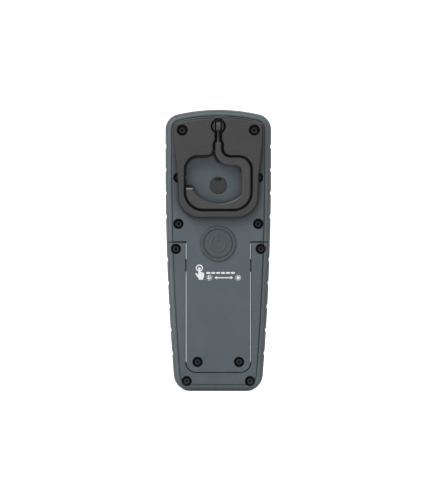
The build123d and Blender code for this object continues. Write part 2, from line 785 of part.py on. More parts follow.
# ================================================================ hook plate
with BuildPart() as hook_plate:
    with BuildSketch(depth_plane(case_half_depth)) as plate_base:
        with BuildLine():
            shoulder_x = plate_half_width - plate_corner_radius
            crown_drop = plate_top - top_radius + sqrt(top_radius**2 - plate_half_width**2)
            ring_x = plate_ring_half_width - plate_ring_radius
            bulge = plate_ring_radius * sqrt(0.5)
            ThreePointArc((-plate_half_width, crown_drop), (0, plate_top), (plate_half_width, crown_drop))
            for side in (1, -1):
                Line((side * plate_half_width, crown_drop), (side * plate_half_width, plate_side_end))
                Spline((side * plate_half_width, plate_side_end),
                       (side * plate_waist[0], plate_waist[1]),
                       (side * plate_ring_half_width, plate_ring_start),
                       tangents=((0, -1), (0, -1)))
                ThreePointArc((side * plate_ring_half_width, plate_ring_start),
                              (side * (ring_x + bulge), plate_ring_start - bulge),
                              (side * ring_x, plate_bottom))
            Line((ring_x, plate_bottom), (-ring_x, plate_bottom))
        make_face()
        top_corners = plate_base.vertices().filter_by_position(Axis.Z, crown_drop - fit_gap,
                                                               crown_drop + fit_gap)
        fillet(top_corners, plate_corner_radius)
    extrude(amount=plate_height, taper=degrees(atan(plate_slope / plate_height)))
    fillet(hook_plate.faces().sort_by(Axis.Y)[0].edges(), plate_edge_radius)
    with BuildSketch(depth_plane(plate_cup_bottom + seat_gap)):
        with Locations(plate_screw_places):
            Circle(plate_cup_radius)
    extrude(amount=plate_cup_depth)
    with BuildSketch(depth_plane(0)):
        add(recess_outline(0))
        with Locations((0, pivot_height)):
            Circle(hub_hole_radius)
            Rectangle(2 * neck_half_width, height, align=(Align.CENTER, Align.MIN))
    extrude(amount=2 * case_half_depth, mode=Mode.SUBTRACT)
    with BuildSketch(depth_plane(plate_seat)):
        with Locations(plate_screw_places):
            Circle(plate_recess_radius)
    extrude(amount=case_half_depth, mode=Mode.SUBTRACT)
    with BuildSketch(depth_plane(0)):
        with Locations(plate_screw_places):
            Circle(screw_hole_radius)
    extrude(amount=case_half_depth, mode=Mode.SUBTRACT)

# ================================================================ hook, hub and pin
with BuildPart() as hook:
    left = -(recess_half_width - hook_gap)
    low = recess_bottom + hook_gap
    high = recess_top - hook_gap
    tip_inner = left + hook_tip_width
    with BuildSketch(depth_plane(hook_bottom_depth)) as hook_profile:
        with BuildLine():
            path = [(tip_inner, hook_tip_height), (left, hook_tip_height), (left, low), (-left, low),
                    (-left, high), (hook_stem_half_width, high),
                    (hook_stem_half_width, hook_stem_top), (-hook_stem_half_width, hook_stem_top),
                    (-hook_stem_half_width, hook_bar_bottom), (hook_inner_x, hook_bar_bottom),
                    (hook_inner_x, hook_inner_end)]
            corner = recess_bottom_radius - hook_gap
            bar_room = hook_inner_x + hook_stem_half_width - hook_corner_radius - hook_bend_runs[0]
            stem_room = hook_stem_top - hook_bar_bottom - hook_tip_radius - hook_bend_runs[1]
            FilletPolyline(*path, radius=[hook_tip_radius, corner, corner,
                                          recess_top_radius - hook_gap, hook_bend_inner_radius,
                                          hook_tip_radius, hook_tip_radius,
                                          min(bar_room, stem_room), hook_corner_radius])
            ThreePointArc((hook_inner_x, hook_inner_end), (0, hook_belly),
                          (tip_inner, hook_tip_height - hook_tip_face))
            Line((tip_inner, hook_tip_height - hook_tip_face), (tip_inner, hook_tip_height))
        make_face()
    extrude(amount=hook_thickness)
    # the inner corner below the long side is rounded, then all edges of the bar
    inner_corner = hook.edges().filter_by(Axis.Y).sort_by_distance((hook_inner_x, -hook_middle_depth,
                                                                    hook_inner_end))[0]
    fillet(inner_corner, hook_foot_radius)
    rims = hook.faces().filter_by(Axis.Y).edges()
    fillet(rims, hook_edge_radius)
    # thin round neck, its flare into the bar, and the tab round the pivot pin
    with BuildSketch(Plane.XY.offset(hook_stem_top - neck_radius)):
        with Locations((0, -hook_middle_depth)):
            Circle(neck_radius)
    extrude(amount=pivot_height - tab_radius - hook_stem_top + 2 * neck_radius)
    with BuildSketch(Plane.XY.offset(hook_stem_top - hook_tip_radius)):
        with Locations((0, -hook_middle_depth)):
            Circle(hook_stem_half_width - hook_stem_flare_drop)
    extrude(amount=hook_stem_flare_height, taper=hook_stem_flare_angle)
    with BuildSketch(Plane.YZ.offset(-tab_width / 2)):
        with Locations((-pivot_depth, pivot_height)):
            Circle(tab_radius)
    extrude(amount=tab_width)
    with BuildSketch(Plane.YZ):
        with Locations((-pivot_depth, pivot_height)):
            Circle(hook_pin_radius + running_gap)
    extrude(amount=tab_width, both=True, mode=Mode.SUBTRACT)

with BuildPart() as hook_hub:
    with BuildSketch(depth_plane(hub_bottom)):
        with Locations((0, pivot_height)):
            Circle(hub_radius)
    extrude(amount=plate_face + hub_rise - hub_bottom)
    fillet(hook_hub.faces().sort_by(Axis.Y)[0].edges(), hub_crown_radius)
    with BuildSketch(depth_plane(hub_bottom)):
        with Locations((0, pivot_height)):
            Circle(hub_flange_radius)
    extrude(amount=case_half_depth - hub_flange_gap - hub_bottom)
    with BuildSketch(depth_plane(hub_slot_floor)):
        with Locations((0, pivot_height)):
            Rectangle(hub_slot_width, 4 * hub_radius)
    extrude(amount=case_half_depth, mode=Mode.SUBTRACT)
    with BuildSketch(Plane.YZ):
        with Locations((-pivot_depth, pivot_height)):
            Circle(hook_pin_radius + running_gap)
    extrude(amount=hook_pin_length / 2 + fit_gap, both=True, mode=Mode.SUBTRACT)

with BuildPart() as hook_pin:
    with BuildSketch(Plane.YZ):
        with Locations((-pivot_depth, pivot_height)):
            Circle(hook_pin_radius)
    extrude(amount=hook_pin_length / 2, both=True)

# ================================================================ power button with seal and switch
button_face = case_half_depth + button_rise
button_back = button_face - button_thickness
switch_cap_depth = board_depth + switch_height
with BuildPart() as power_button:
    with BuildSketch(depth_plane(button_back)):
        with Locations((0, button_height)):
            Circle(button_radius)
    extrude(amount=button_thickness)
    fillet(power_button.faces().sort_by(Axis.Y)[0].edges(), button_edge_radius)
    with BuildSketch(depth_plane(switch_cap_depth + button_travel + seat_gap)):
        with Locations((0, button_height)):
            Circle(button_plunger_radius)
    extrude(until=Until.NEXT)

with BuildPart() as button_seal:
    with BuildSketch(depth_plane(inner_depth - seat_gap)):
        with Locations((0, button_height)):
            Circle(button_seal_radius)
    extrude(amount=case_half_depth - inner_depth + seat_gap + button_seal_rise)
    chamfer(button_seal.faces().sort_by(Axis.Y)[0].edges(), button_seal_edge)
    with BuildSketch(depth_plane(inner_depth - seat_gap)):
        with Locations((0, button_height)):
            Circle(button_seal_flange)
    extrude(amount=-button_seal_lip_height)
    with BuildSketch(depth_plane(0)):
        with Locations((0, button_height)):
            Circle(button_radius + button_gap)
    extrude(amount=2 * case_half_depth, mode=Mode.SUBTRACT)

with BuildPart() as tact_switch:
    with BuildSketch(depth_plane(board_depth)):
        with Locations((0, button_height)):
            Rectangle(switch_width, switch_width)
    extrude(amount=switch_body_height)
    with BuildSketch(depth_plane(board_depth)):
        with Locations((0, button_height)):
            Circle(switch_cap_radius)
    extrude(amount=switch_height)

# ================================================================ boards
with BuildPart() as main_board:
    with BuildSketch(depth_plane(board_depth - board_thickness)):
        with Locations((0, (board_bottom + board_top) / 2)):
            RectangleRounded(2 * board_half_width, board_top - board_bottom, board_corner_radius)
    extrude(amount=board_thickness)
    with BuildSketch(depth_plane(board_depth - board_thickness)):
        with Locations(both_sides(driver_chip_x, button_height + driver_chip_rise)):
            Rectangle(driver_chip[0], driver_chip[1])
    extrude(amount=-driver_chip[2])
    with BuildSketch(depth_plane(0)):
        with Locations(board_post_places):
            Circle(small_screw_radius + fit_gap)
    extrude(amount=case_half_depth, mode=Mode.SUBTRACT)

with BuildPart() as charge_board:
    with BuildSketch(depth_plane(charge_board_face - charge_board_thickness)):
        with Locations((0, port_height)):
            RectangleRounded(charge_board_width, charge_board_height, charge_board_corner)
    extrude(amount=charge_board_thickness)
    with BuildSketch(depth_plane(0)):
        with Locations(charge_post_places):
            Circle(small_screw_radius + fit_gap)
    extrude(amount=case_half_depth, mode=Mode.SUBTRACT)

with BuildPart() as charge_socket:
    with BuildSketch(depth_plane(charge_board_face)):
        with Locations((0, port_height)):
            SlotOverall(socket_width, socket_height)
    extrude(amount=socket_length)
    with BuildSketch(depth_plane(charge_board_face + socket_floor)):
        with Locations((0, port_height)):
            SlotOverall(socket_width - 2 * socket_wall, socket_height - 2 * socket_wall)
    extrude(amount=socket_length, mode=Mode.SUBTRACT)
    with BuildSketch(depth_plane(charge_board_face)):
        with Locations((0, port_height)):
            Rectangle(*socket_tongue)
    extrude(amount=socket_length - socket_tongue_setback)

with BuildPart() as port_cover:
    with BuildSketch(depth_plane(cover_depth - cover_thickness)):
        with Locations((0, port_height)):
            Circle(port_radius)
    extrude(amount=cover_thickness)
    chamfer(port_cover.faces().sort_by(Axis.Y)[0].edges(), cover_edge_break)
    # thumbnail notch near the top
    with BuildSketch(depth_plane(cover_depth - cover_notch_depth)):
        with Locations((0, port_height + cover_notch_offset)):
            RectangleRounded(cover_notch_width, cover_notch_height, cover_notch_radius)
    extrude(amount=cover_thickness, mode=Mode.SUBTRACT)
    # shallow tongue that closes the socket's mouth
    with BuildSketch(depth_plane(cover_depth - cover_thickness - cover_plug_length)):
        with Locations((0, port_height)):
            SlotOverall(cover_plug_width, cover_plug_height)
    extrude(amount=cover_plug_length)

# ================================================================ battery
with BuildPart() as battery_cell:
    with BuildSketch(Plane.XY.offset(cell_bottom)):
        with Locations((0, cell_offset)):
            Circle(cell_radius)
    extrude(amount=cell_length)
    fillet(battery_cell.edges(), cell_edge_radius)

with BuildPart() as battery_cradle:
    cradle_front = inner_depth - seat_gap
    with BuildSketch(Plane.XY.offset(cell_bottom + cradle_margin)):
        with Locations((0, (cradle_front - cradle_rear) / 2)):
            Rectangle(2 * cradle_half_width, cradle_front + cradle_rear)
        with Locations((0, cell_offset)):
            Circle(cell_radius + fit_gap, mode=Mode.SUBTRACT)
        with Locations((0, -case_half_depth)):
            Rectangle(2 * cell_radius, 2 * case_half_depth, mode=Mode.SUBTRACT)
    extrude(amount=cell_length - 2 * cradle_margin)

with BuildPart() as battery_tabs:
    with BuildSketch(Plane.XY.offset(cell_top)):
        with Locations((0, cell_offset)):
            Rectangle(tab_strip_width, tab_strip_length)
    extrude(amount=tab_strip_thickness)
    with BuildSketch(Plane.XY.offset(cell_bottom)):
        with Locations((0, cell_offset)):
            Rectangle(tab_strip_width, tab_strip_length)
    extrude(amount=-tab_strip_thickness)


def wire(points):
    """Round wire along straight runs and bends, from the first point to the last."""
    with BuildPart(mode=Mode.PRIVATE) as run:
        with BuildLine() as route:
            FilletPolyline(*points, radius=wire_bend)
        with BuildSketch(Plane(origin=route.line @ 0, z_dir=route.line % 0)):
            Circle(wire_radius)
        sweep()
    return run.part


board_front_face = -(board_depth - board_thickness)
board_loop = board_front_face + board_wire_room
with BuildPart() as battery_leads:
    high_loop = cell_top + tab_strip_thickness + wire_loop
    low_loop = cell_bottom - tab_strip_thickness - wire_loop
    side_x = cell_radius + wire_radius
    cross = board_bottom - lead_cross_drop
    low_end = board_bottom + board_wire_inset
    add(wire([(0, cell_offset, cell_top + tab_strip_thickness), (0, cell_offset, high_loop),
              (0, board_front_face, high_loop)]))
    # the lower lead runs up behind the cell, then beside it to the board
    add(wire([(0, 0, cell_bottom - tab_strip_thickness), (0, 0, low_loop),
              (0, -cell_radius, low_loop), (0, -cell_radius, cross),
              (side_x, -cell_radius, cross + lead_slant),
              (side_x, -cell_radius, board_bottom - board_wire_room),
              (side_x, board_loop, board_bottom + board_wire_room / 3),
              (side_x, board_loop, low_end), (side_x, board_front_face, low_end)]))

with BuildPart() as lamp_leads:
    lamp_level = window_bottom + 2 * wire_bend
    for x in (-lamp_wire_x, lamp_wire_x):
        add(wire([(x, led_board_back, lamp_level), (x, 0, lamp_level),
                  (x, -board_wire_inset, lamp_level - wire_bend),
                  (x, board_front_face, lamp_level - wire_bend)]))

with BuildPart() as charge_leads:
    low_edge = port_height - charge_board_height / 2 + 2 * wire_radius
    charge_loop = -charge_board_face - charge_wire_room
    for x in (-charge_wire_x, charge_wire_x):
        add(wire([(x, -charge_board_face, low_edge), (x, charge_loop, low_edge),
                  (x, charge_loop, board_top - board_wire_inset / 2),
                  (x, board_front_face, board_top - board_wire_inset / 2)]))

# ================================================================ lamp
led_places = GridLocations(led_pitch_x, led_pitch_z, led_columns, led_rows).local_locations
with BuildPart() as lens_bezel:
    with BuildSketch(lens_plane(case_half_depth)):
        add(head_outline(bezel_inset, window_bottom - bezel_foot))
    extrude(amount=front_reach - case_half_depth,
            taper=degrees(atan(bezel_slope / (front_reach - case_half_depth))))
    fillet(lens_bezel.faces().sort_by(Axis.Y)[-1].edges(), bezel_edge_radius)
    with BuildSketch(lens_plane(0)):
        add(window_outline(0))
    extrude(amount=2 * front_reach, mode=Mode.SUBTRACT)
    with BuildSketch(lens_plane(case_half_depth)):
        add(window_outline(lens_lip + fit_gap))
    extrude(amount=front_reach - lens_cover + seat_gap - case_half_depth, mode=Mode.SUBTRACT)

with BuildPart() as lens:
    with BuildSketch(lens_plane(lens_back)):
        add(window_outline(lens_lip))
    extrude(amount=lens_thickness)

with BuildPart() as lens_gasket:
    with BuildSketch(lens_plane(case_half_depth + seat_gap)):
        add(window_outline(lens_lip))
        add(window_outline(lens_lip - gasket_width), mode=Mode.SUBTRACT)
    extrude(amount=lens_back - case_half_depth - 2 * seat_gap)

with BuildPart() as reflector:
    with BuildSketch(lens_plane(reflector_back)):
        add(window_outline(-lamp_fit))
    extrude(amount=reflector_depth)
    # one cone round each lamp chip
    with Locations(lens_plane(reflector_back + reflector_depth / 2)):
        with Locations((0, window_mid)):
            with GridLocations(led_pitch_x, led_pitch_z, led_columns, led_rows):
                Cone(reflector_throat_radius, reflector_mouth_radius, reflector_depth,
                     mode=Mode.SUBTRACT)

with BuildPart() as led_board:
    with BuildSketch(lens_plane(led_board_back)):
        add(window_outline(-lamp_fit))
    extrude(amount=led_board_thickness)


def led_chips(start):
    """Every second chip of the grid, from chip number `start`."""
    with BuildPart(mode=Mode.PRIVATE) as chips:
        with BuildSketch(lens_plane(led_board_front)):
            for number, place in enumerate(led_places):
                column, row = divmod(number, led_rows)
                if (column + row) % 2 == start:
                    with Locations((place.position.X, place.position.Y + window_mid)):
                        Rectangle(led_size, led_size)
        extrude(amount=led_height)
    return chips.part


with BuildPart() as warm_leds:
    add(led_chips(0))

with BuildPart() as cool_leds:
    add(led_chips(1))

with BuildPart() as heat_sink:
    with BuildSketch(lens_plane(sink_back)):
        add(window_outline(-lamp_fit))
        for x, z in ear_places:
            inward = 1 if z < window_mid else -1
            with Locations((x, z)):
                Circle(ear_radius)
            with Locations((x, z + inward * ear_radius)):
                Rectangle(2 * ear_radius, 2 * ear_radius)
        with Locations((0, window_bottom)):
            Rectangle(2 * sink_notch_half_width, 2 * sink_notch_height, mode=Mode.SUBTRACT)
        with Locations(ear_places):
            Circle(small_screw_radius + fit_gap, mode=Mode.SUBTRACT)
    extrude(amount=sink_thickness)
    with BuildSketch(lens_plane(sink_back)):
        with Locations((0, window_mid + fin_shift)):
            with GridLocations(fin_pitch, 1, fin_count, 1):
                Rectangle(fin_thickness, fin_length)
    extrude(amount=-fin_height)

# ================================================================ screws


def case_screws(places, seat):
    """Pan-head screws whose heads sit at depth `seat`, with a round socket in each head."""
    with BuildPart(mode=Mode.PRIVATE) as screws:
        with BuildSketch(depth_plane(seat)):
            with Locations(places):
                Circle(screw_head_radius)
        extrude(amount=screw_head_height)
        fillet(screws.faces().group_by(Axis.Y)[0].edges(), screw_head_dome)
        with BuildSketch(depth_plane(seat + screw_head_height - screw_socket_depth)):
            with Locations(places):
                RegularPolygon(screw_socket_radius, 6)
        extrude(amount=screw_head_height, mode=Mode.SUBTRACT)
        with BuildSketch(depth_plane(seat)):
            with Locations(places):
                Circle(screw_shank_radius)
        extrude(amount=-(seat + screw_reach))
    return screws.part


def small_screws(places, seat, inward):
    """Board screws with their heads on the face at depth `seat`, pointing along `inward`."""
    with BuildPart(mode=Mode.PRIVATE) as screws:
        with BuildSketch(depth_plane(seat)):
            with Locations(places):
                Circle(small_head_radius)
        extrude(amount=-inward * small_head_height)
        with BuildSketch(depth_plane(seat)):
            with Locations(places):
                Circle(small_screw_radius)
        extrude(amount=inward * (small_screw_grip - small_screw_room))
    return screws.part


with BuildPart() as shell_screws:
    add(case_screws(shell_screw_places, screw_seat))

with BuildPart() as plate_screws:
    add(case_screws(plate_screw_places, plate_seat))

with BuildPart() as stand_screws:
    add(case_screws(stand_screw_places, screw_seat))

with BuildPart() as board_screws:
    add(small_screws(board_post_places, board_depth - board_thickness, 1))
    add(small_screws(charge_post_places, charge_board_face - charge_board_thickness, 1))

with BuildPart() as sink_screws:
    add(small_screws(ear_places, -sink_back, -1))

# ================================================================ labels and files
pieces = {
    "rear_shell": rear_shell, "front_shell": front_shell, "case_seal": case_seal,
    "head_rim": head_rim, "hook_plate": hook_plate, "hook": hook, "hook_hub": hook_hub,
    "hook_pin": hook_pin, "power_button": power_button, "button_seal": button_seal,
    "tact_switch": tact_switch, "main_board": main_board, "charge_board": charge_board,
    "charge_socket": charge_socket, "port_cover": port_cover, "battery_cell": battery_cell,
    "battery_cradle": battery_cradle, "battery_tabs": battery_tabs,
    "battery_leads": battery_leads, "lamp_leads": lamp_leads, "charge_leads": charge_leads,
    "lens_bezel": lens_bezel, "lens": lens, "lens_gasket": lens_gasket, "reflector": reflector,
    "led_board": led_board, "warm_leds": warm_leds, "cool_leds": cool_leds,
    "heat_sink": heat_sink, "shell_screws": shell_screws, "plate_screws": plate_screws,
    "board_screws": board_screws, "sink_screws": sink_screws, "hinge_pins": hinge_pins,
    "friction_washers": friction_washers, "stand_rear_shell": stand_rear_shell,
    "stand_front_shell": stand_front_shell, "stand_rim": stand_rim, "stand_screws": stand_screws,
}
os.makedirs("parts", exist_ok=True)
for name, piece in pieces.items():
    piece.part.label = name
    export_step(piece.part, f"parts/{name}.step")
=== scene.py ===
from math import atan2, cos, pi, radians, sin

import bmesh
import bpy
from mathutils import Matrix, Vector


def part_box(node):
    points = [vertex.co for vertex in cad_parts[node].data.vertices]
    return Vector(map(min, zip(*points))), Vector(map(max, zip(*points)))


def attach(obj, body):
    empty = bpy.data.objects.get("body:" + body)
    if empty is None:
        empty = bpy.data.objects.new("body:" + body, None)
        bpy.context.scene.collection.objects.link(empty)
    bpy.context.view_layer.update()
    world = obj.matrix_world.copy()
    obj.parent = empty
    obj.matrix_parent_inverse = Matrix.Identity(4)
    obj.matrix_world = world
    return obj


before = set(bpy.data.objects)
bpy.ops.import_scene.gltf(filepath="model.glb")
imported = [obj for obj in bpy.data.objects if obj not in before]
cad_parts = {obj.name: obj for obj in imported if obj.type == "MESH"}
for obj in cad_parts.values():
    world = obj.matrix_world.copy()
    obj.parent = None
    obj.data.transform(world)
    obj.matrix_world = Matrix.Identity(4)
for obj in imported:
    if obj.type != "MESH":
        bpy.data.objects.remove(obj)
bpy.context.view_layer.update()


# ---------------------------------------------------------------- housings
# Two half shells make the head and its long tongue, and two more make the U-shaped stand.
# They are injection moulded from glass-filled nylon, spark-eroded to a fine even grain,
# and are screwed together from the hook side.

def put(tree, target, value):
    """Sets a socket, or links it where the value is another node's output."""
    if isinstance(value, bpy.types.NodeSocket):
        tree.links.new(value, target)
    else:
        target.default_value = value


def fill(tree, node, inputs):
    """Sets or links a node's inputs; their names are written with _ for a space."""
    for name, value in inputs.items():
        put(tree, node.inputs[name.replace("_", " ")], value)
    return node


def add_node(tree, kind, **inputs):
    """A new shader node with its inputs."""
    return fill(tree, tree.nodes.new("ShaderNode" + kind), inputs)


def calc(tree, operation, a, b, c=0.0):
    """One step of arithmetic; gives the output socket."""
    node = add_node(tree, "Math")
    node.operation = operation
    for target, value in zip(node.inputs, (a, b, c)):
        put(tree, target, value)
    return node.outputs[0]


def times(tree, a, b):
    """Product of two values, such as two masks."""
    return calc(tree, "MULTIPLY", a, b)


def blend_colour(tree, how_far, low, high):
    """Colour between two others."""
    node = add_node(tree, "Mix")
    node.data_type = "RGBA"
    # the node has sockets for every kind of value; those for colours are 6, 7 and output 2
    for number, value in ((0, how_far), (6, low), (7, high)):
        put(tree, node.inputs[number], value)
    return node.outputs[2]


def fade(tree, value, low, high, to_low=0.0, to_high=1.0):
    """The value stretched from one range to another and held inside it."""
    node = add_node(tree, "MapRange")
    for target, number in zip(node.inputs, (value, low, high, to_low, to_high)):
        put(tree, target, number)
    return node.outputs[0]


def place_on_part(tree):
    """Place on the part, in metres."""
    return add_node(tree, "TexCoord").outputs["Object"]


def axes(tree):
    """X, Y and Z of the place on the part."""
    return add_node(tree, "SeparateXYZ", Vector=place_on_part(tree)).outputs


def noise(tree, place, scale, detail=2.0, rough=0.5):
    """Cloudy noise; the scale counts waves in a metre."""
    node = add_node(tree, "TexNoise", Vector=place, Scale=scale, Detail=detail, Roughness=rough)
    return node.outputs[0]


def openness(tree, reach, samples):
    """1 where nothing stands within the reach, less beside walls and in corners."""
    node = add_node(tree, "AmbientOcclusion", Distance=reach)
    node.samples = samples
    return node.outputs["AO"]


def new_group(name, inputs, outputs):
    """An empty shader group; gives it with what comes in and what goes out."""
    group = bpy.data.node_groups.new(name, "ShaderNodeTree")
    for label, value in inputs.items():
        made = group.interface.new_socket(name=label, in_out="INPUT", socket_type="NodeSocketFloat")
        made.default_value = value
    for label in outputs:
        group.interface.new_socket(name=label, in_out="OUTPUT", socket_type="NodeSocketFloat")
    start = group.nodes.new("NodeGroupInput")
    end = group.nodes.new("NodeGroupOutput")
    return group, start.outputs, end.inputs


def grain_group():
    """Even pits of a spark-eroded mould: height of the surface, and a mask of its hollows."""
    group, given, result = new_group("moulded_grain",
                                     {"Grains per metre": 2600.0, "Unevenness": 0.35},
                                     ("Height", "Hollows"))
    broad_scale = 0.11
    hollow_full = 0.32
    hollow_none = 0.5
    place = place_on_part(group)
    fine = noise(group, place, given["Grains per metre"], 3.0, 0.62)
    broad = noise(group, place, times(group, given["Grains per metre"], broad_scale))
    height = calc(group, "ADD", fine, times(group, broad, given["Unevenness"]))
    put(group, result["Height"], height)
    put(group, result["Hollows"], fade(group, fine, hollow_full, hollow_none, 1.0, 0.0))
    return group


def wear_and_shade_group():
    """Masks between 0 and 1: edges, patches and scuffs, and the crevices, sheltered places and
    corners where painted shade goes.
    """
    group, given, result = new_group("wear_and_shade",
                                     {"Edge width": 0.0005, "Patch size per metre": 60.0,
                                      "Crevice reach": 0.004, "Shelter reach": 0.014,
                                      "Corner reach": 0.0027},
                                     ("Edges", "Patches", "Scuffs", "Crevices", "Sheltered",
                                      "Corners"))
    place = place_on_part(group)
    # an edge is where the surface turns away from its own rounded copy, so that the cosine
    # between them falls; it is rubbed in parts only
    flat_cosine = 0.995
    edge_cosine = 0.86
    rounded = add_node(group, "Bevel", Radius=given["Edge width"])
    rounded.samples = 6
    turn = add_node(group, "VectorMath")
    turn.operation = "DOT_PRODUCT"
    put(group, turn.inputs[0], rounded.outputs[0])
    put(group, turn.inputs[1], add_node(group, "NewGeometry").outputs["Normal"])
    edge = fade(group, turn.outputs["Value"], flat_cosine, edge_cosine)
    rubbed_scale = times(group, given["Patch size per metre"], 9.0)
    rubbed = fade(group, noise(group, place, rubbed_scale, 3.0, 0.6), 0.35, 0.62)
    put(group, result["Edges"], times(group, edge, rubbed))
    patches = noise(group, place, given["Patch size per metre"], 3.0, 0.55)
    put(group, result["Patches"], fade(group, patches, 0.36, 0.66))
    # scuffs are a few long thin lines, in a few places only
    slanted = add_node(group, "Mapping", Vector=place, Rotation=(0.2, 0.9, 0.4),
                       Scale=(1.0, 1.0, 0.03))
    lines = fade(group, noise(group, slanted.outputs[0], 5200.0, 1.0), 0.66, 0.72)
    few = fade(group, noise(group, place, 95.0, 1.0), 0.6, 0.72)
    put(group, result["Scuffs"], times(group, lines, few))
    # each mask for painted shade: its name, reach and samples, and the openness at which it begins
    # and is full
    for name, reach, samples, begins, full in (("Crevices", "Crevice reach", 6, 0.70, 0.20),
                                               ("Sheltered", "Shelter reach", 8, 0.97, 0.74),
                                               ("Corners", "Corner reach", 32, 0.90, 0.84)):
        put(group, result[name], fade(group, openness(group, given[reach], samples), begins, full))
    return group


moulded_grain = grain_group()
wear_and_shade = wear_and_shade_group()


def place_group(tree, group, **inputs):
    """Puts the group in a material under its own name, with its own values; gives its outputs."""
    node = add_node(tree, "Group")
    node.node_tree = group
    node.name = group.name
    return fill(tree, node, inputs).outputs


def new_finish(name):
    """A new material, with its node tree and its Principled shader."""
    material = bpy.data.materials.new(name)
    material.use_nodes = True
    tree = material.node_tree
    return material, tree, tree.nodes["Principled BSDF"]


def shade(colour, share):
    """The colour made darker or lighter by this share."""
    return tuple(part * share for part in colour) + (1,)


def rubbed_and_highlit_edge(colour, amount, base):
    """The colour of a lighter edge: rubbed wear, and in part a painted highlight."""
    return tuple(min(1, part + amount * (base + part)) for part in colour) + (1,)


def moulded(name, colour, roughness, grains=2600.0, pit=0.00002, strength=0.35, shift=0.06,
            edge_wear_and_highlight=0.10, edge_width=0.0005, sheen=0.0, shelter_shade=0.45, crevice_shade=1.0):
    """Moulded plastic or rubber: grain, cloudy colour, dull patches, lighter edges that are rubbed
    wear and in part a painted highlight, faint scuffs, and painted shade where walls stand near and
    in crevices.
    The strength of the painted shade where walls stand near is a number, or a function that makes a
    mask in the material's tree."""
    material, tree, skin = new_finish(name)
    grain = place_group(tree, moulded_grain, Grains_per_metre=grains)
    surface_masks = place_group(tree, wear_and_shade, Edge_width=edge_width)
    pits = shade(colour, 1 - 1.8 * shift)
    shaded_colour = shade(colour, 0.22)
    tone = blend_colour(tree, surface_masks["Patches"], shade(colour, 1 - shift), shade(colour, 1 + shift))
    tone = blend_colour(tree, times(tree, grain["Hollows"], 0.5), tone, pits)
    # lighter edges: rubbed wear, and in part a painted highlight
    tone = blend_colour(tree, surface_masks["Edges"], tone, rubbed_and_highlit_edge(colour, edge_wear_and_highlight, 0.25))
    # painted shade where walls stand near
    film = shelter_shade(tree) if callable(shelter_shade) else shelter_shade
    tone = blend_colour(tree, times(tree, surface_masks["Sheltered"], film), tone, shaded_colour)
    # painted shade in crevices and gaps
    tone = blend_colour(tree, times(tree, surface_masks["Crevices"], crevice_shade), tone, shaded_colour)
    put(tree, skin.inputs["Base Color"], tone)
    cloudy = 0.05
    edge_polish = 0.14
    scuff_polish = 0.12
    dull = fade(tree, surface_masks["Patches"], 0.0, 1.0, roughness - cloudy, roughness + cloudy)
    dull = calc(tree, "SUBTRACT", dull, times(tree, surface_masks["Edges"], edge_polish))
    dull = calc(tree, "SUBTRACT", dull, times(tree, surface_masks["Scuffs"], scuff_polish))
    put(tree, skin.inputs["Roughness"], dull)
    bump = add_node(tree, "Bump", Strength=strength, Distance=pit, Height=grain["Height"])
    put(tree, skin.inputs["Normal"], bump.outputs[0])
    skin.inputs["Specular IOR Level"].default_value = 0.45
    if sheen:
        skin.inputs["Sheen Weight"].default_value = sheen
        skin.inputs["Sheen Roughness"].default_value = 0.4
    return material


def paint_over(material, mask, colour):
    """Lays another colour over a finish, as far as the mask says."""
    tree = material.node_tree
    target = tree.nodes["Principled BSDF"].inputs["Base Color"]
    under = target.links[0].from_socket
    put(tree, target, blend_colour(tree, mask, under, colour))


def finish_node(material, *names):
    """Gives CAD nodes this material."""
    for name in names:
        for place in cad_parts[name].material_slots:
            place.material = material


housing_colour = (0.100, 0.125, 0.140)
# strength of the painted shade where walls stand near on the housings
housing_shelter_shade = 0.70
# the recess for the hook lies between these depths; its mask fades in over the first pair of
# numbers and out over the second
recess_rim = (-0.0128, -0.0122)
recess_floor = (-0.0098, -0.0104)
# the painted shade where walls stand near is faint near the paper that the light stands on, and full
# from the second height
clear_of_paper = (0.008, 0.016)


def in_recess(tree):
    """Mask of the depths of the hook's recess."""
    depth = axes(tree)["Y"]
    return times(tree, fade(tree, depth, *recess_rim), fade(tree, depth, *recess_floor))


def housing_shelter_shade_strength(tree):
    """Strength of the painted shade where walls stand near on the housings: weaker in the recess,
    and faint near the paper.
    """
    film = fade(tree, in_recess(tree), 0.0, 1.0, housing_shelter_shade, 0.4 * housing_shelter_shade)
    return times(tree, film, fade(tree, axes(tree)["Z"], *clear_of_paper, 0.1, 1.0))


def paint_foot_shadow(material):
    """Painted shadow, nearly black, at the foot of the recess's upper left wall."""
    tree = material.node_tree
    place = axes(tree)
    corner = times(tree, tree.nodes["wear_and_shade"].outputs["Corners"], in_recess(tree))
    leaning = calc(tree, "MULTIPLY_ADD", place["X"], -0.9, place["Z"])
    upper_left = fade(tree, leaning, 0.134, 0.139)
    paint_over(material, times(tree, corner, upper_left), shade(housing_colour, 0.03))


# the housings get painted shade where walls stand near and in crevices
housing_grey = moulded("housing_nylon", housing_colour, 0.56, shelter_shade=housing_shelter_shade_strength)
# painted shadow at the foot of the recess's upper left wall
paint_foot_shadow(housing_grey)
finish_node(housing_grey, "rear_shell", "front_shell", "stand_rear_shell", "stand_front_shell")

# ---------------------------------------------------------------- rubber rims
# A bumper of soft thermoplastic rubber is moulded on to the edge of the head and of the stand.
# Its flanks slope in to both faces, and shallow scallops give the fingers grip.
# no painted shade where walls stand near, and a weak painted shade in crevices
rim_rubber = moulded("rim_rubber", (0.110, 0.134, 0.143), 0.70, grains=3400.0, pit=0.00003,
                     strength=0.4, shift=0.05, edge_wear_and_highlight=0.06, sheen=0.15, shelter_shade=0.0, crevice_shade=0.25)
finish_node(rim_rubber, "head_rim", "stand_rim")

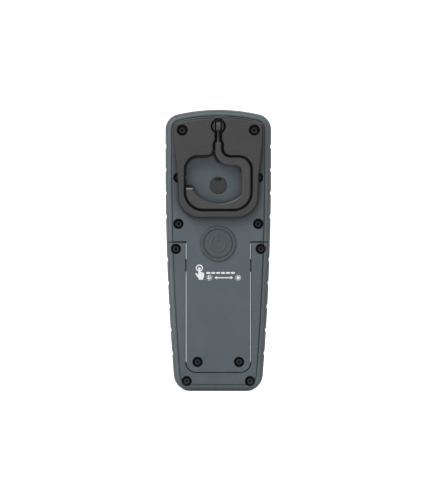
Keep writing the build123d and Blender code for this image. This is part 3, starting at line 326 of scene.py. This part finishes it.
# ---------------------------------------------------------------- dust seals
# A thin cord of black silicone lies in a groove between the two shells of the body. A gasket
# of the same rubber is pressed under the rim of the lamp's window.
seal_rubber = moulded("seal_rubber", (0.012, 0.012, 0.013), 0.6, edge_wear_and_highlight=0.02)
finish_node(seal_rubber, "case_seal", "lens_gasket")

# ---------------------------------------------------------------- hinge of the stand
# Two turned steel pins run through the tongue and the arms of the stand. A dark acetal washer
# fills the gap on each pin, and its friction holds the stand at any angle.

def metal(name, colour, roughness, turned=False, edge_wear_and_highlight=0.2):
    """Bare, plated or blackened metal with fine tool marks, lighter edges that are rubbed wear and
    in part a painted highlight, and painted shade in crevices.
    """
    material, tree, skin = new_finish(name)
    surface_masks = place_group(tree, wear_and_shade, Edge_width=0.0002, Patch_size_per_metre=240.0)
    tone = blend_colour(tree, surface_masks["Patches"], shade(colour, 0.85), shade(colour, 1.12))
    tone = blend_colour(tree, surface_masks["Edges"], tone, rubbed_and_highlit_edge(colour, edge_wear_and_highlight, 0.2))
    # painted shade in crevices, such as the sockets of the screws
    tone = blend_colour(tree, surface_masks["Crevices"], tone, shade(colour, 0.04))
    put(tree, skin.inputs["Base Color"], tone)
    skin.inputs["Metallic"].default_value = 1.0
    drawn_out = 0.06 if turned else 1.0
    marks = add_node(tree, "Mapping", Vector=place_on_part(tree), Scale=(1.0, drawn_out, 1.0))
    fine = noise(tree, marks.outputs[0], 9000.0)
    put(tree, skin.inputs["Roughness"],
        fade(tree, fine, 0.2, 0.8, roughness - 0.08, roughness + 0.1))
    bump = add_node(tree, "Bump", Strength=0.25, Distance=0.00001, Height=fine)
    put(tree, skin.inputs["Normal"], bump.outputs[0])
    return material


pin_steel = metal("pin_steel", (0.52, 0.52, 0.53), 0.3, turned=True)
finish_node(pin_steel, "hinge_pins")
washer_dark = moulded("washer_acetal", (0.035, 0.037, 0.040), 0.4)
finish_node(washer_dark, "friction_washers")

# ---------------------------------------------------------------- hook plate
# A bottle-shaped frame of dark grey nylon with the same fine grain as the housings,
# held by two screws in deep cups; its walls lean in, and its open neck holds the hook's hub.
plate_grey = moulded("plate_nylon", (0.056, 0.055, 0.056), 0.52, grains=2400.0, shift=0.07)
finish_node(plate_grey, "hook_plate")

# ---------------------------------------------------------------- hook, hub and pin
# The hook is one bar of glass-filled nylon with rounded edges, bent round into an open loop.
# A pin of blackened steel joins its flat tab to the slotted hub, which is of a darker nylon.
# its rounded edges are made lighter: a painted highlight, and rubbed wear
hook_nylon = moulded("hook_nylon", (0.066, 0.065, 0.066), 0.42, grains=3200.0, pit=0.000012,
                     shift=0.06, edge_wear_and_highlight=0.16, edge_width=0.0007)
# the upper edge of the tip gets a painted highlight within these bounds
tip_top = 0.1224
tip_side = -0.0150
tip_front = -0.0140
tip_highlight = (0.19, 0.185, 0.19, 1)


def paint_tip_highlight(material):
    """Paints a highlight on the upper edge of the hook's tip, where light from above falls on it."""
    tree = material.node_tree
    place = axes(tree)
    above = fade(tree, place["Z"], tip_top - 0.0010, tip_top - 0.0006)
    below = fade(tree, place["Z"], tip_top + 0.0002, tip_top - 0.0001)
    beside = fade(tree, place["X"], tip_side, tip_side - 0.0004)
    before = fade(tree, place["Y"], tip_front, tip_front - 0.0005)
    edge = times(tree, times(tree, above, below), times(tree, beside, before))
    paint_over(material, edge, tip_highlight)


paint_tip_highlight(hook_nylon)
finish_node(hook_nylon, "hook")
hub_nylon = moulded("hub_nylon", (0.034, 0.034, 0.035), 0.50, grains=3200.0, edge_wear_and_highlight=0.03)
finish_node(hub_nylon, "hook_hub")
screw_black = metal("screw_black", (0.060, 0.061, 0.063), 0.32, edge_wear_and_highlight=0.06)
finish_node(screw_black, "hook_pin")

# ---------------------------------------------------------------- power key
# A round key of blue-grey silicone rubber moves in a seal of the same rubber, which stands
# round it as a soft collar with a thin lip. The sign for power, a broken ring with a bar, is
# moulded into the key's face as a low ridge.
# a weak painted shade where walls stand near, and none in crevices
key_rubber = moulded("key_rubber", (0.074, 0.091, 0.097), 0.66, grains=3600.0, shift=0.05,
                     edge_wear_and_highlight=0.07, sheen=0.2, shelter_shade=0.1, crevice_shade=0.0)
finish_node(key_rubber, "power_button", "button_seal")

# the signs and the rings are drawn in millimetres
MM = 0.001
key_height = 89.0
key_face = -13.5
sign_radius = 4.5
sign_stroke = 1.35
sign_rise = 0.26
sign_opening = 36
sign_steps = 48
bar_foot = 1.4
bar_step = 0.45
bar_steps = 9


def ridge(mesh, path):
    """A low ridge with softly rounded flanks on the key's face, along (x, z) places."""
    profile = [(-0.5, -0.3), (-0.5, 0.0), (-0.42, 0.62), (-0.25, 0.94), (0.0, 1.0),
               (0.25, 0.94), (0.42, 0.62), (0.5, 0.0), (0.5, -0.3)]
    last = len(path) - 1
    rows = []
    for i, (x, z) in enumerate(path):
        before = path[max(i - 1, 0)]
        after = path[min(i + 1, last)]
        along = Vector((after[0] - before[0], after[1] - before[1])).normalized()
        across = Vector((-along.y, along.x))
        rows.append([mesh.verts.new(((x + across.x * sign_stroke * u) * MM,
                                     (key_face - sign_rise * v) * MM,
                                     (z + across.y * sign_stroke * u) * MM)) for u, v in profile])
    for low, high in zip(rows, rows[1:]):
        for k in range(len(profile)):
            mesh.faces.new((low[k - 1], low[k], high[k], high[k - 1]))
    mesh.faces.new(rows[0])
    mesh.faces.new(rows[-1])


def mesh_piece(name, mesh, material, smooth=True):
    """An object made of this mesh, with consistent normals."""
    bmesh.ops.recalc_face_normals(mesh, faces=mesh.faces)
    data = bpy.data.meshes.new(name)
    mesh.to_mesh(data)
    mesh.free()
    for face in data.polygons:
        face.use_smooth = smooth
    piece = bpy.data.objects.new(name, data)
    data.materials.append(material)
    bpy.context.scene.collection.objects.link(piece)
    return piece


sign = bmesh.new()
turns = [radians(sign_opening + i * (360 - 2 * sign_opening) / sign_steps)
         for i in range(sign_steps + 1)]
ridge(sign, [(sign_radius * sin(a), key_height + sign_radius * cos(a)) for a in turns])
ridge(sign, [(0, key_height + bar_foot + i * bar_step) for i in range(bar_steps + 1)])
power_sign = mesh_piece("power_sign", sign, key_rubber)
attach(power_sign, "button")

ring_sides = 96


def turned_ring(name, section):
    """A ring of rubber about the key's axis, from a closed section of (radius, y) places."""
    mesh = bmesh.new()
    rows = []
    for i in range(ring_sides):
        a = 2 * pi * i / ring_sides
        rows.append([mesh.verts.new((r * sin(a) * MM, y * MM, (key_height + r * cos(a)) * MM))
                     for r, y in section])
    for i in range(ring_sides):
        for k in range(len(section)):
            mesh.faces.new((rows[i - 1][k - 1], rows[i - 1][k], rows[i][k], rows[i][k - 1]))
    ring = mesh_piece(name, mesh, key_rubber)
    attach(ring, "body")


key_low, key_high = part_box("power_button")
key_radius = (key_high[0] - key_low[0]) / 2 / MM
collar_inner = key_radius + 0.37
collar_outer = 10.68
collar_middle = (collar_inner + collar_outer) / 2
collar_half = (collar_outer - collar_inner) / 2
collar_foot = -12.85
collar_rise = 0.85
collar_steps = 14
turned_ring("key_collar", [(collar_middle + collar_half * cos(pi * i / collar_steps),
                            collar_foot - collar_rise * sin(pi * i / collar_steps))
                           for i in range(collar_steps + 1)])
lip_foot = -12.3
lip_inner = 0.06
lip_outer = 0.45
lip = [(lip_inner, lip_foot), (lip_inner, -13.15), (0.12, -13.28), (0.25, -13.34),
       (lip_outer, -13.36), (lip_outer, lip_foot)]
turned_ring("key_lip", [(key_radius + out, y) for out, y in lip])

# ---------------------------------------------------------------- switch and boards
# A tact switch under the key is soldered to the driver board; a second small board carries the
# charging socket. Both are green glass-epoxy with a glossy solder mask, and small steel screws
# hold them in the case.
switch_black = moulded("switch_black", (0.02, 0.02, 0.021), 0.4)
finish_node(switch_black, "tact_switch")


def solder_mask():
    """Green varnish over copper tracks."""
    material = moulded("solder_mask", (0.008, 0.075, 0.03), 0.3, grains=900.0, shift=0.12)
    tree = material.node_tree
    tracks = add_node(tree, "TexVoronoi", Vector=place_on_part(tree), Scale=420.0)
    tracks.distance = "CHEBYCHEV"
    copper = fade(tree, tracks.outputs["Distance"], 0.36, 0.4)
    paint_over(material, times(tree, copper, 0.5), (0.02, 0.16, 0.06, 1))
    skin = tree.nodes["Principled BSDF"]
    skin.inputs["Coat Weight"].default_value = 0.5
    skin.inputs["Coat Roughness"].default_value = 0.12
    return material


finish_node(solder_mask(), "main_board", "charge_board")
finish_node(pin_steel, "board_screws")
nickel = metal("nickel", (0.6, 0.56, 0.49), 0.24)
finish_node(nickel, "charge_socket")

# ---------------------------------------------------------------- charging port cover
# A round plug of dark grey rubber fills the collar of the charging socket, with a thumbnail
# notch near its top edge.
cover_rubber = moulded("cover_rubber", (0.047, 0.047, 0.050), 0.72, grains=3600.0, sheen=0.2,
                       edge_wear_and_highlight=0.05)
finish_node(cover_rubber, "port_cover")

# ---------------------------------------------------------------- battery
# One cell in a shrink sleeve lies in a moulded cradle inside the tongue, with spot-welded nickel
# strips. Leads in red silicone join it, the lamp and the charging board to the driver board.
sleeve = moulded("cell_sleeve", (0.012, 0.07, 0.17), 0.28, grains=700.0, pit=0.00003, shift=0.08)
finish_node(sleeve, "battery_cell")
cradle_black = moulded("cradle_plastic", (0.018, 0.018, 0.019), 0.5)
finish_node(cradle_black, "battery_cradle")
finish_node(nickel, "battery_tabs")
jacket = moulded("wire_jacket", (0.30, 0.012, 0.01), 0.45, grains=5200.0)
finish_node(jacket, "battery_leads", "lamp_leads", "charge_leads")

# ---------------------------------------------------------------- lamp
# Behind a clear polycarbonate window, warm and cool chips sit in the cups of a metallised
# reflector, on a white board screwed to an extruded heat sink. The bezel round the window is
# moulded from the plate's dark nylon.
bezel_grey = moulded("bezel_nylon", (0.045, 0.045, 0.047), 0.5)
finish_node(bezel_grey, "lens_bezel")


def clear_sheet():
    """Clear polycarbonate with a faint ripple."""
    material, tree, skin = new_finish("lens_clear")
    skin.inputs["Base Color"].default_value = (0.95, 0.97, 0.98, 1)
    skin.inputs["Transmission Weight"].default_value = 1.0
    skin.inputs["IOR"].default_value = 1.45
    place = place_on_part(tree)
    ripple = noise(tree, place, 140.0)
    specks = noise(tree, place, 2200.0)
    put(tree, skin.inputs["Roughness"], fade(tree, specks, 0.4, 0.7, 0.005, 0.03))
    bump = add_node(tree, "Bump", Strength=0.15, Distance=0.00004, Height=ripple)
    put(tree, skin.inputs["Normal"], bump.outputs[0])
    return material


finish_node(clear_sheet(), "lens")
bright = metal("reflector_bright", (0.80, 0.81, 0.82), 0.16)
finish_node(bright, "reflector")
board_white = moulded("board_white", (0.72, 0.72, 0.70), 0.45, grains=1200.0)
finish_node(board_white, "led_board")
warm = moulded("warm_phosphor", (0.80, 0.42, 0.04), 0.35, grains=4000.0)
finish_node(warm, "warm_leds")
cool = moulded("cool_phosphor", (0.80, 0.68, 0.18), 0.35, grains=4000.0)
finish_node(cool, "cool_leds")
sink_metal = metal("sink_aluminium", (0.62, 0.63, 0.64), 0.38, turned=True)
finish_node(sink_metal, "heat_sink")
finish_node(pin_steel, "sink_screws")

# ---------------------------------------------------------------- case screws
# Twelve black-oxide pan-head screws with a hexagon socket stand in round recesses: six in the
# body, two in the hook plate and four in the stand. Their black is that of the hook's pin.
finish_node(screw_black, "shell_screws", "plate_screws", "stand_screws")

# ---------------------------------------------------------------- printed signs
# White ink pad-printed on the tongue: a hand that presses a round key, dashes for the time
# that it is held, and a double arrow between an open sun for warm light and a full one for cool.
ink_white = moulded("white_ink", (0.93, 0.94, 0.95), 0.5, grains=5000.0, pit=0.00001)
ink_y = -12.99
ink_thickness = 0.035


def flat_shape(mesh, outline, hole=None):
    """A film of ink with this outline of (x, z) places, and perhaps a hole."""
    loops = [outline] + ([hole] if hole else [])
    edges = []
    for loop in loops:
        corners = [mesh.verts.new((x * MM, ink_y * MM, z * MM)) for x, z in loop]
        edges += [mesh.edges.new((corners[i - 1], corners[i])) for i in range(len(corners))]
    made = bmesh.ops.triangle_fill(mesh, edges=edges, use_beauty=True)
    faces = [g for g in made["geom"] if isinstance(g, bmesh.types.BMFace)]
    grown = bmesh.ops.extrude_face_region(mesh, geom=faces, use_keep_orig=True)
    moved = [g for g in grown["geom"] if isinstance(g, bmesh.types.BMVert)]
    bmesh.ops.translate(mesh, verts=moved, vec=(0, -ink_thickness * MM, 0))


def arc(x, z, radius, start, sweep, count):
    """Places along an arc, with both its ends; the angles are in radians."""
    turns = [start + sweep * i / count for i in range(count + 1)]
    return [(x + radius * cos(a), z + radius * sin(a)) for a in turns]


def circle(x, z, radius, count):
    """Places round a circle."""
    return arc(x, z, radius, 0.0, 2 * pi, count)[:-1]


def capsule(x0, z0, x1, z1, radius, count):
    """Outline of a bar with round ends."""
    heading = atan2(z1 - z0, x1 - x0)
    return (arc(x0, z0, radius, heading + pi / 2, pi, count)
            + arc(x1, z1, radius, heading - pi / 2, pi, count))


def film(name, draw):
    """One printed sign as a piece of its own on the body."""
    mesh = bmesh.new()
    draw(mesh)
    piece = mesh_piece(name, mesh, ink_white, smooth=False)
    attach(piece, "body")


finger_x = -11.4
finger_tip = 74.1
finger_half = 0.72
pressed_key = 74.3
pressed_outer = 2.15
pressed_inner = 1.45
pressed_gap = radians(26)


def pressing_hand(mesh):
    """Hand with a stretched finger on a round key, which is open at its foot."""
    first = 1.5 * pi + pressed_gap
    sweep = 2 * pi - 2 * pressed_gap
    outside = arc(finger_x, pressed_key, pressed_outer, first, sweep, 40)
    inside = arc(finger_x, pressed_key, pressed_inner, first, sweep, 40)
    flat_shape(mesh, outside + inside[::-1])
    tip = arc(finger_x, finger_tip, finger_half, 0.0, pi, 8)
    thumb = [(-12.12, 70.3), (-13.1, 71.2), (-13.6, 71.4), (-13.85, 71.1), (-13.5, 70.2),
             (-12.6, 69.0), (-11.95, 68.1)]
    wrist = [(-11.75, 67.3), (-9.15, 67.3)]
    knuckles = [(-9.0, 68.3), (-8.6, 69.2), (-8.45, 70.2), (-8.5, 71.0), (-8.8, 71.45),
                (-9.2, 71.35), (-9.35, 71.75), (-9.75, 71.85), (-9.95, 71.65), (-10.2, 72.05),
                (-10.68, 71.95)]
    flat_shape(mesh, tip + thumb + wrist + knuckles)


dash_row = 71.4
dash_start = -6.7
dash_end = -5.3
dash_step = 2.95
dash_half = 0.55


def hold_bar(mesh):
    """Six short dashes for the time that the key is held."""
    for i in range(6):
        along = i * dash_step
        flat_shape(mesh, capsule(dash_start + along, dash_row, dash_end + along, dash_row,
                                 dash_half, 8))


sun_row = 68.5
warm_sun = -5.4
cool_sun = 12.0
sun_radius = 0.95
sun_hole = 0.4
ray_start = 1.42
ray_end = 1.6
ray_half = 0.26


def warm_to_cool(mesh):
    """Double arrow between an open and a full sun."""
    for x, hole in ((warm_sun, circle(warm_sun, sun_row, sun_hole, 28)), (cool_sun, None)):
        flat_shape(mesh, circle(x, sun_row, sun_radius, 28), hole)
        for i in range(8):
            a = 2 * pi * (i + 0.5) / 8
            flat_shape(mesh, capsule(x + ray_start * cos(a), sun_row + ray_start * sin(a),
                                     x + ray_end * cos(a), sun_row + ray_end * sin(a),
                                     ray_half, 5))
    upper = [(-2.4, 0.0), (-0.9, 1.0), (-0.9, 0.34), (7.4, 0.34), (7.4, 1.0), (8.9, 0.0)]
    lower = [(x, -z) for x, z in upper[-2:0:-1]]
    flat_shape(mesh, [(x, sun_row + z) for x, z in upper + lower])


film("printed_hand", pressing_hand)
film("printed_hold_bar", hold_bar)
film("printed_warm_to_cool", warm_to_cool)

# ---------------------------------------------------------------- studio
# The light stands on pale paper that runs up into a wall. A large soft lamp hangs high at the
# left front and a weaker one on the lens side. The paper and the air are brighter to the camera
# than to the light, so the ground is an even white and the shading of the part stays soft.

def studio_white():
    """Pale seamless paper, lit from behind so that it stays even."""
    material, tree, skin = new_finish("studio_paper")
    skin.inputs["Roughness"].default_value = 0.9
    cloud = noise(tree, place_on_part(tree), 3.0)
    put(tree, skin.inputs["Base Color"],
        blend_colour(tree, cloud, (0.60, 0.60, 0.60, 1), (0.66, 0.66, 0.66, 1)))
    skin.inputs["Emission Color"].default_value = (1, 1, 1, 1)
    seen = add_node(tree, "LightPath").outputs["Is Camera Ray"]
    put(tree, skin.inputs["Emission Strength"], fade(tree, seen, 0.0, 1.0, 0.25, 0.85))
    return material


paper_reach = 4.0
bend_radius = 0.8
bend_start = 1.2
backdrop = bmesh.new()
profile = [(-paper_reach, 0.0), (bend_start, 0.0)]
profile += [(bend_start + bend_radius * sin(radians(a)), bend_radius - bend_radius * cos(radians(a)))
            for a in range(10, 91, 10)]
profile += [(bend_start + bend_radius, paper_reach)]
rows = [[backdrop.verts.new((x, y, z)) for y, z in profile] for x in (-paper_reach, paper_reach)]
for i in range(len(profile) - 1):
    backdrop.faces.new((rows[0][i], rows[1][i], rows[1][i + 1], rows[0][i + 1]))
paper = mesh_piece("studio_paper", backdrop, studio_white())

middle = Vector((0, 0, 0.085))


def soft_lamp(name, place, side, power):
    """Large square lamp that faces the middle of the part."""
    data = bpy.data.lights.new(name, "AREA")
    data.shape = "SQUARE"
    data.size = side
    data.energy = power
    lamp = bpy.data.objects.new(name, data)
    lamp.location = place
    lamp.rotation_euler = (middle - Vector(place)).to_track_quat("-Z", "Y").to_euler()
    lamp.visible_camera = False
    bpy.context.scene.collection.objects.link(lamp)


soft_lamp("key_lamp", (-0.60, -0.60, 1.40), 0.85, 18)
soft_lamp("lens_side_lamp", (0.6, 1.4, 1.2), 1.0, 11)
world = bpy.data.worlds.new("studio_air")
world.use_nodes = True
air = world.node_tree
seen = add_node(air, "LightPath").outputs["Is Camera Ray"]
put(air, air.nodes["Background"].inputs["Color"], (1, 1, 1, 1))
put(air, air.nodes["Background"].inputs["Strength"], fade(air, seen, 0.0, 1.0, 0.36, 1.0))
bpy.context.scene.world = world
bpy.context.scene.view_settings.view_transform = "Standard"

eye_distance = 1.6
eye_height = 0.0852
eye_side = -0.00139
sensor = 36.0
picture_rows = 500
row_height = 0.6043 * MM
# depth at which the picture has this scale
view_depth = 0.0085
eye = bpy.data.cameras.new("camera")
eye.sensor_width = sensor
eye.lens = sensor * (eye_distance - view_depth) / (picture_rows * row_height)
camera = bpy.data.objects.new("camera", eye)
camera.location = (eye_side, -eye_distance, eye_height)
camera.rotation_euler = (radians(90), 0, 0)
bpy.context.scene.collection.objects.link(camera)
bpy.context.scene.camera = camera
